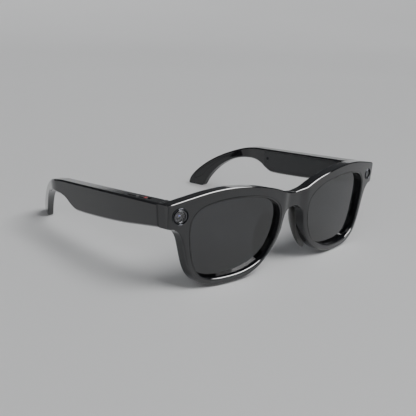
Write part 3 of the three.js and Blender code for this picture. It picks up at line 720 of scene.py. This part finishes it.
def make_front():
    flat = plate(front_outline(), 0, FRONT_DEPTH, 0.46, 0.6, (opening, mirror(opening)),
                 opening_profile(), cut_edges=True)
    body = warped(new_object("front_moulding", *flat), on_sculpted_front)
    cut(body, tool(brow_outline(0), FRONT_DEPTH - CHANNEL_DEPTH, FRONT_DEPTH + 1, on_front))
    for side, radius, well in ((RIGHT, CAMERA_R, CAMERA_WELL), (LEFT, LIGHT_R, LIGHT_WELL)):
        cut(body, make_stub(side), operation="UNION")
        cut(body, moved(eye_well(radius, *well), eye_matrix(side)), hinge_pocket(side, FRONT_HALF))
    finish_piece(body, GLOSS, "front", ("front_frame",))


def make_lens(side, word):
    outline = shift(opening, LENS_BITE - 0.05)
    flat = plate(outline if side == LEFT else mirror(outline), LENS_FRONT, LENS_FRONT + LENS_THICK,
                 0.12, 0.12, grid=2.2, steps=2)
    lens = warped(new_object(f"smoke_lens_{word}", *flat), on_front)
    finish_piece(lens, LENS, "front", (f"lens_{word}",))


def make_pad(side, word):
    """A smooth lobe grown out of the back of the rim."""
    angles = np.linspace(-math.pi / 2, math.pi / 2, 57)
    pad = lathe(f"nose_lobe_{word}", [(max(0.0, math.cos(a)), math.sin(a)) for a in angles], 112)
    x, depth, z = PAD_AT
    ax, ay, az = PAD_LEAN
    turn = Matrix.Rotation(az, 4, "Z") @ Matrix.Rotation(ay, 4, "Y") @ Matrix.Rotation(ax, 4, "X")
    seat = Matrix.Translation((x, front_y(x, z) + depth, z))
    pad.data.transform(seat @ turn @ Matrix.Diagonal((*PAD_RADII, 1)))

    def rest_on_rim(p):
        back = front_y(p[:, 0], p[:, 2]) + FRONT_DEPTH - 0.5
        return np.stack([side * p[:, 0], np.maximum(p[:, 1], back), p[:, 2]], 1)
    finish_piece(warped(pad, rest_on_rim), PAD, "front", (f"nose_pad_{word}",))


def make_brow_cover():
    flat = plate(brow_outline(0.15), FRONT_DEPTH - 1.2, FRONT_DEPTH - SEAT, 0.1, 0.18,
                 grid=1.4, steps=3)
    cover = warped(new_object("brow_channel_cover", *flat), on_front)
    finish_piece(cover, SATIN, "front", ("brow_rear_cover",))


# ---- camera and status light: profiles are (radius, height above the face) ----
def rounded_ring(inner, outer, low, high, edge, dish=0.0):
    """A ring with rounded front edges and a face that falls by dish toward the hole."""
    turn = np.linspace(0, math.pi / 2, 6)
    outside = [(outer - edge + edge * math.cos(a), high - edge + edge * math.sin(a)) for a in turn]
    inner_high = high - dish
    hole = [(inner + edge - edge * math.sin(a), inner_high - edge + edge * math.cos(a)) for a in turn]
    return [(inner, low), (outer, low), *outside, *hole, (inner, low)]


def domed(radius, back, rim, rise, count=14):
    """A round glass with a flat back and a shallow dome that rises from its rim."""
    turn = np.linspace(math.pi / 2, 0, count)
    dome = [(radius * math.sin(a), rim + rise * math.cos(a)) for a in turn]
    return [(0, back), (radius, back), *dome]


def barrel_profile():
    """The lens barrel, stepped on its inside like a baffle down to the front element."""
    step = ((2.25, -1.52), (2.1, -1.5), (2.06, -1.63))
    inward = [(r - 0.21 * k, h - 0.13 * k) for k in range(5) for r, h in step]
    return [(0, -4.6), (2.2, -4.6), (2.3, -1.5), *inward, (1.15, -2.4), (0, -2.4)]


def eye_piece(side, name, profile, material, replaces=(), segments=128):
    """A round piece of the camera or of the status light, seated in its well."""
    piece = moved(lathe(name, profile, segments), eye_matrix(side))
    finish_piece(piece, material, "front", replaces)


def make_camera():
    outer = rounded_ring(3.76, CAMERA_R, -3.2, 0.5, 0.16)
    groove = rounded_ring(3.2, 3.74, -3.1, -0.8, 0.05)
    inner = rounded_ring(2.66, 3.18, -3.0, 0.44, 0.14, dish=0.16)
    gasket = [(2.64, -1.5), (2.64, -0.16), (2.58, -0.1), (2.5, -0.16), (2.46, -0.5), (2.46, -1.5),
              (2.64, -1.5)]
    cover_glass = domed(2.42, -1.3, -0.46, 0.16)
    element = domed(1.14, -2.36, -2.16, 0.5, 16)
    eye_piece(RIGHT, "camera_outer_ring", outer, RING, ("camera_bezel",))
    eye_piece(RIGHT, "camera_groove", groove, MATTE)
    eye_piece(RIGHT, "camera_inner_ring", inner, BRIGHT)
    eye_piece(RIGHT, "camera_glass_gasket", gasket, MATTE)
    eye_piece(RIGHT, "camera_cover_glass", cover_glass, WINDOW, ("camera_window",))
    eye_piece(RIGHT, "camera_baffle", barrel_profile(), MATTE, ("camera_lens_barrel",))
    eye_piece(RIGHT, "camera_front_element", element, COATED_PAINTED_GLINT, segments=96)


def make_light():
    outer = rounded_ring(2.86, LIGHT_R, -2.6, 0.34, 0.14)
    groove = rounded_ring(1.98, 2.84, -2.5, -0.7, 0.05)
    inner = rounded_ring(1.62, 1.96, -2.5, -0.1, 0.12, dish=0.06)
    guide = domed(1.58, -2.5, -0.34, 0.1)
    eye_piece(LEFT, "status_outer_ring", outer, RING, ("status_light_bezel",), segments=112)
    eye_piece(LEFT, "status_groove", groove, MATTE, segments=112)
    eye_piece(LEFT, "status_inner_ring", inner, MATTE, segments=112)
    eye_piece(LEFT, "status_light_lens", guide, GUIDE, ("status_light_guide",), 112)


# ---- hinges, drawn with x across the bar, y away from the seam and z up the pin ----
KNUCKLE_STEP = (HINGE_TOP - HINGE_BOTTOM - 2 * GAP) / 3
KNUCKLES = [HINGE_BOTTOM + i * (KNUCKLE_STEP + GAP) for i in range(3)]
LEAF_NEAR, LEAF_FAR = 0.4, 1.45     # a leaf's two faces, from the seam
LEAF_X, ARM_X = (2.3, 5.2), (0.2, 2.4)  # reach of its plate, and of the arm to each knuckle
PIN_R, PIN_HOLE_R = 0.55, 0.62


def rod(name, radius, z0, z1, edge=0.12, segments=64):
    profile = [(0, z0), (radius - edge, z0), (radius, z0 + edge), (radius, z1 - edge),
               (radius - edge, z1), (0, z1)]
    return lathe(name, profile, segments)


def make_leaf(side, word, half):
    """Half a hinge: the front's leaf has the outer two knuckles, the temple's the middle one."""
    if half == FRONT_HALF:
        name, body, knuckles = f"hinge_front_leaf_{word}", "front", (KNUCKLES[0], KNUCKLES[2])
    else:
        name, body, knuckles = f"hinge_temple_leaf_{word}", f"{word}_temple", KNUCKLES[1:2]
    n0, n1 = sorted((half * LEAF_NEAR, half * LEAF_FAR))
    leaf = box(f"{name}_steel", *LEAF_X, n0, n1, HINGE_BOTTOM, HINGE_TOP, 0.12)
    for low in knuckles:
        high = low + KNUCKLE_STEP
        arm = box("tool", *ARM_X, n0, n1, low + 0.01, high - 0.01)
        cut(leaf, cut(rod("tool", KNUCKLE_R, low, high), arm, operation="UNION"), operation="UNION")
    cut(leaf, rod("tool", PIN_HOLE_R, HINGE_BOTTOM - 1, HINGE_TOP + 1, 0.01, 40))
    finish_piece(moved(leaf, hinge_matrix(side)), STEEL, body, (name,))


def make_pin(side, word):
    name = f"hinge_pin_{word}"
    pin = rod(f"{name}_steel", PIN_R, HINGE_BOTTOM + 0.1, HINGE_TOP - 0.1, 0.1, 48)
    finish_piece(moved(pin, hinge_matrix(side)), STEEL, "front", (name,))


# ---- temples ----
TEMPLE_FACET = 0.85
PAST_BAR = TEMPLE_THICK + 1         # where cutting tools end, beyond the bar's inner face
COVER_SUNK = 0.04                   # how far the inner cover sits below the bar's inner face
GRILLE_X, GRILLE_Z, GRILLE_REACH, SLIT_HALF = (2.42, 4.38), (-15.3, -14.3), 6.0, 0.35


def temple_outline():
    end = np.linspace(temple_base[-1], temple_top[-1], 14)[1:-1]
    start = np.linspace(temple_top[0], temple_base[0], 14)[1:-1]
    loop = np.vstack([temple_base, end, temple_top[::-1], start])
    loop = eased(loop, temple_base[-1], 1.3)
    return eased(loop, temple_top[-1], 1.5)


def pocket_outline(inset):
    """The electronics pocket, drawn in from its walls by inset."""
    edge = WALL + inset
    y = np.linspace(POCKET_Y[0] + inset, POCKET_Y[1] - inset, 71)
    low = np.stack([y, base_height(y) + edge], 1)
    high = np.stack([y, top_height(y) - edge], 1)[::-1]
    return np.vstack([low, high])


def inlay_outline(inset):
    """A strip between the tip's top line and its middle, drawn in by inset."""
    y = np.linspace(INLAY_Y[0] + inset, INLAY_Y[1] - inset, 41)
    low = np.stack([y, (top_height(y) + base_height(y)) / 2 + inset], 1)
    high = np.stack([y, top_height(y) - INLAY_INSET - inset], 1)[::-1]
    return np.vstack([low, high])


def across(radius, x0, x1, side, y, edge=0.02):
    """A round piece lying across the bar at a cover screw, from the outer face inward."""
    turn = Matrix.Translation((0, 0, SCREW_Z)) @ Matrix.Rotation(math.pi / 2, 4, "Y")
    return moved(rod("tool", radius, x0, x1, edge, 48), bar_matrix(side, y) @ turn)


def cover_face(y):
    """Depth of the inner cover's outside below the bar's outer face."""
    return float(thick_at(y)) * (TEMPLE_THICK - COVER_SUNK) / TEMPLE_THICK


def control_slot():
    """A slot in the temple's top face, as a cutting tool with rounded ends."""
    near, far = SLOT_MIDDLE - SLOT_WIDTH / 2, SLOT_MIDDLE + SLOT_WIDTH / 2
    slot = box("tool", near, far, -SLOT_LENGTH / 2, SLOT_LENGTH / 2, -3, 1)
    edges = slot.modifiers.new("ends", "BEVEL")
    edges.width, edges.segments, edges.limit_method = 0.5, 4, "ANGLE"
    apply_modifiers(slot)
    return slot


def make_shell(side, word):
    """The hollow bar, with its pocket, inlay bed, hinge end, speaker window, bosses and slots."""
    move = on_temple(side)
    flat = plate(temple_outline(), 0, TEMPLE_THICK, TEMPLE_FACET, TEMPLE_FACET, grid=2.4,
                 cut_edges=True)
    shell = warped(new_object(f"temple_shell_{word}", *flat), move)
    cut(shell, tool(pocket_outline(0), WALL, PAST_BAR, move),
        tool(inlay_outline(0), TEMPLE_THICK - INLAY_DEPTH, PAST_BAR, move))
    seam = moved(box("tool", -12, 20, -20, 0.13, -40, 20), hinge_matrix(side))
    window = box("tool", 2.3, 4.5, -GRILLE_REACH - 0.1, GRILLE_REACH + 0.1, -17.5, -12)
    cut(shell, seam, hinge_pocket(side, TEMPLE_HALF), moved(window, bar_matrix(side, SPEAKER_Y)))
    for y in COVER_SCREWS:
        cut(shell, across(BOSS_R, 1.0, cover_face(y) - 1.2, side, y), operation="UNION")
        cut(shell, across(SHANK_R + 0.1, SHANK_END - 0.1, PAST_BAR, side, y))
    if side == RIGHT:
        for y in (SLIDER_Y, BUTTON_Y):
            cut(shell, moved(control_slot(), bar_matrix(side, y)))
    finish_piece(shell, GLOSS, f"{word}_temple", (f"temple_housing_{word}",))


def make_inner_cover(side, word):
    flat = plate(pocket_outline(0.1), COVER_DEPTH[0], TEMPLE_THICK - COVER_SUNK, 0.15, 0.2,
                 grid=2.4, steps=3)
    cover = warped(new_object(f"inner_cover_{word}", *flat), on_temple(side))
    for y in COVER_SCREWS:
        cut(cover, across(HEAD_R + 0.05, cover_face(y) - HEAD_THICK - 0.1, PAST_BAR, side, y),
            across(SHANK_R + 0.05, 4, PAST_BAR, side, y))
    finish_piece(cover, SATIN, f"{word}_temple", (f"temple_inner_cover_{word}",))


def make_inlay(side, word):
    flat = plate(inlay_outline(0.12), TEMPLE_THICK - 2.0, TEMPLE_THICK - 0.03, 0.12, 0.2,
                 grid=2.0, steps=3)
    inlay = warped(new_object(f"tip_inlay_strip_{word}", *flat), on_temple(side))
    finish_piece(inlay, GLOSS, f"{word}_temple", (f"tip_inlay_{word}",))


def make_cover_screw(side, word, where, y):
    """A flush screw with a cross recess in its head."""
    top, name = cover_face(y), f"cover_screw_{where}_{word}"
    screw = across(SHANK_R, SHANK_END, top - HEAD_THICK + 0.05, side, y)
    cut(screw, across(HEAD_R, top - HEAD_THICK, top, side, y, 0.1), operation="UNION")
    for angle in (0, math.pi / 2):
        blade = box("tool", top - 0.25, top + 1, -0.13, 0.13, -0.7, 0.7)
        turn = Matrix.Translation((0, 0, SCREW_Z)) @ Matrix.Rotation(angle, 4, "X")
        cut(screw, moved(blade, bar_matrix(side, y) @ turn))
    screw.name = screw.data.name = f"{name}_steel"
    finish_piece(screw, BLACK_STEEL, f"{word}_temple", (name,))


def make_grille(side, word):
    """The slotted grille in the temple's underside."""
    grille = box(f"speaker_mesh_{word}", *GRILLE_X, -GRILLE_REACH, GRILLE_REACH, *GRILLE_Z, 0.12)
    for y in np.arange(-4.5, 4.6, 1.5):
        slit = box("tool", 2.9, 3.9, y - SLIT_HALF, y + SLIT_HALF, -16, -13, 0.2, 2)
        cut(grille, slit)
    finish_piece(moved(grille, bar_matrix(side, SPEAKER_Y)), MATTE, f"{word}_temple",
                 (f"speaker_grille_{word}",))


def make_temple(side, word):
    make_shell(side, word)
    make_inner_cover(side, word)
    make_inlay(side, word)
    for y, where in zip(COVER_SCREWS, ("front", "rear")):
        make_cover_screw(side, word, where, y)
    make_grille(side, word)


# ---- the two controls on the right temple ----
SLOT_MIDDLE = float(thick_at(BUTTON_Y)) / 2     # from the outer face
SLIDER_REST = 1.3                               # the slider rests this far behind its slot's middle
KEY_FLOOR, FLANGE_WIDE, FLANGE_Z = -2.6, 1.7, (-3.1, -2.3)  # each key stands on a wider flange


def slot_box(name, half_width, half_length, z0, z1, edge, steps=3):
    """A box in the middle of a control slot."""
    return box(name, SLOT_MIDDLE - half_width, SLOT_MIDDLE + half_width, -half_length, half_length,
               z0, z1, edge, steps)


def make_controls():
    key = slot_box("capture_key", 0.97, 3.7, KEY_FLOOR, 0.35, 0.28, 4)
    cut(key, slot_box("tool", FLANGE_WIDE, 4.6, *FLANGE_Z, 0.05), operation="UNION")
    moved(key, bar_matrix(RIGHT, BUTTON_Y))
    finish_piece(key, MATTE, "capture_button", ("capture_button",))
    knob = slot_box("power_key", 0.95, 2.25, KEY_FLOOR, 0.3, 0.22, 4)
    cut(knob, box("tool", SLOT_MIDDLE - 1.35, SLOT_MIDDLE + 1.35, -2.6, -0.6, 0.02, 1))
    cut(knob, slot_box("tool", FLANGE_WIDE, 3.2, *FLANGE_Z, 0.05), operation="UNION")
    seat = bar_matrix(RIGHT, SLIDER_Y + SLIDER_REST)
    finish_piece(moved(knob, seat), MATTE, "power_slider", ("power_slider",))
    near, far = SLOT_MIDDLE - 0.75, SLOT_MIDDLE + 0.75
    mark = box("power_key_red_inlay", near, far, -2.1, -0.75, 0.02, 0.3, 0.1)
    finish_piece(moved(mark, seat), RED, "power_slider", ("power_slider_red_mark",))


# ---- materials for the pieces inside, which stay as the CAD made them ----
INSIDE = {"brow_flex_cable": FLEX, "camera_sensor_board": BOARD, "status_light_board": BOARD,
          "capture_switch": MATTE, "power_switch": MATTE, "main_board": BOARD, "processor": MATTE,
          "charging_board": BOARD}
for _, word in SIDES:
    INSIDE.update({f"battery_{word}": CELL, f"speaker_{word}": MATTE, f"microphone_{word}": STEEL})


def dress_inside():
    for name, material in INSIDE.items():
        node = frame["nodes"][name]
        node.data.materials.clear()
        node.data.materials.append(material)


# ---- the studio ----
def floor_material():
    n = Nodes("pale_floor")
    cloud = n.noise(1.5, 4, 0.5)
    grain = n.noise(900, 3, 0.6)
    dark, light = (0.74, 0.745, 0.75), (0.77, 0.775, 0.78)
    n.set(Base_Color=n.mix(n.remap(cloud, 0.3, 0.7, 0, 1), dark, light))
    n.set(Roughness=n.remap(grain, 0.3, 0.7, 0.55, 0.7), Normal=n.bump(grain, 0.00002, 0.3))
    return n.material


def make_floor():
    """A round pale floor whose rim curves up all round into a low wall (metres)."""
    flat, bend, rise, segments = 1.5, 2.6, math.radians(31.5), 144
    turn = np.linspace(0, rise, 24)
    profile = [(0, 0), *((flat * i / 12, 0) for i in range(1, 12))]
    profile += [(flat + bend * math.sin(a), bend * (1 - math.cos(a))) for a in turn]
    points, faces = [(0, 0, 0)], []
    for r, h in profile[1:]:
        points += [(r * math.cos(a), r * math.sin(a), h)
                   for a in np.linspace(0, 2 * math.pi, segments, endpoint=False)]
    for i in range(segments):
        j = (i + 1) % segments
        faces.append((0, 1 + i, 1 + j))
        for row in range(len(profile) - 2):
            low = 1 + row * segments
            faces.append((low + i, low + segments + i, low + segments + j, low + j))
    mesh = bpy.data.meshes.new("studio_floor")
    mesh.from_pydata(points, [], faces)
    mesh.shade_smooth()
    floor = bpy.data.objects.new("studio_floor", mesh)
    floor.location.z = CAD_BOX[0][2] - 0.05 * MM
    mesh.materials.append(floor_material())
    bpy.context.scene.collection.objects.link(floor)


def softbox(name, place, aim, size, power):
    """A soft panel that shows in polished surfaces without lighting the floor."""
    data = bpy.data.lights.new(name, "AREA")
    data.shape, data.size, data.size_y, data.energy = "RECTANGLE", *size, power
    lamp = bpy.data.objects.new(name, data)
    lamp.location = place
    lamp.rotation_euler = (Vector(aim) - Vector(place)).to_track_quat("-Z", "Y").to_euler()
    lamp.visible_camera = lamp.visible_diffuse = False
    bpy.context.scene.collection.objects.link(lamp)


def compass(azimuth, elevation, distance):
    """A place seen from the glasses: azimuth from straight ahead toward +x, and elevation."""
    away = math.cos(elevation)
    ahead = Vector((math.sin(azimuth) * away, -math.cos(azimuth) * away, math.sin(elevation)))
    return ahead * distance


def sun_light(name, azimuth, elevation, spread, strength):
    data = bpy.data.lights.new(name, "SUN")
    data.energy, data.angle = strength, math.radians(spread)
    lamp = bpy.data.objects.new(name, data)
    toward = compass(math.radians(azimuth), math.radians(elevation), 1)
    lamp.rotation_euler = toward.to_track_quat("Z", "Y").to_euler()
    bpy.context.scene.collection.objects.link(lamp)


def make_studio():
    world = bpy.data.worlds.new("studio")
    world.use_nodes = True
    background = world.node_tree.nodes["Background"]
    background.inputs["Color"].default_value = (0.93, 0.96, 1.0, 1)
    background.inputs["Strength"].default_value = 0.11
    bpy.context.scene.world = world
    sun_light("key_light", 20, 53, 34, 2.2)
    sun_light("front_fill", -60, 30, 40, 0.6)
    panel = compass(math.radians(24), math.radians(55), 1.3)
    softbox("key_softbox", panel, (0, 0, 0.03), (1.2, 0.6), 56)


VIEW_FROM = (-238.25, -232.20, 67.01)   # millimetres, wearer's frame


def make_camera_view():
    """The view: found in the wearer's frame, and turned with it into the row's."""
    heading, drop, roll = math.radians(-38.836), math.radians(13.598), math.radians(-2.068)
    back = compass(heading, drop, 1)
    level = Vector((math.cos(heading), math.sin(heading), 0))
    upward = back.cross(level)
    right = level * math.cos(roll) + upward * math.sin(roll)
    up = upward * math.cos(roll) - level * math.sin(roll)
    pose = Matrix((right, up, back)).transposed().to_4x4()
    pose.translation = Vector(VIEW_FROM) * MM
    data = bpy.data.cameras.new("view")
    data.sensor_width, data.lens, data.clip_start = 36, 56.25, 0.01
    camera = bpy.data.objects.new("view", data)
    camera.matrix_world = WEARER @ pose
    bpy.context.scene.collection.objects.link(camera)
    bpy.context.scene.camera = camera


make_camera_view()
make_studio()
make_floor()
make_front()
make_brow_cover()
make_camera()
make_light()
for side, word in SIDES:
    make_lens(side, word)
    make_pad(side, word)
    make_leaf(side, word, FRONT_HALF)
    make_leaf(side, word, TEMPLE_HALF)
    make_pin(side, word)
    make_temple(side, word)
make_controls()
dress_inside()

bpy.context.view_layer.update()
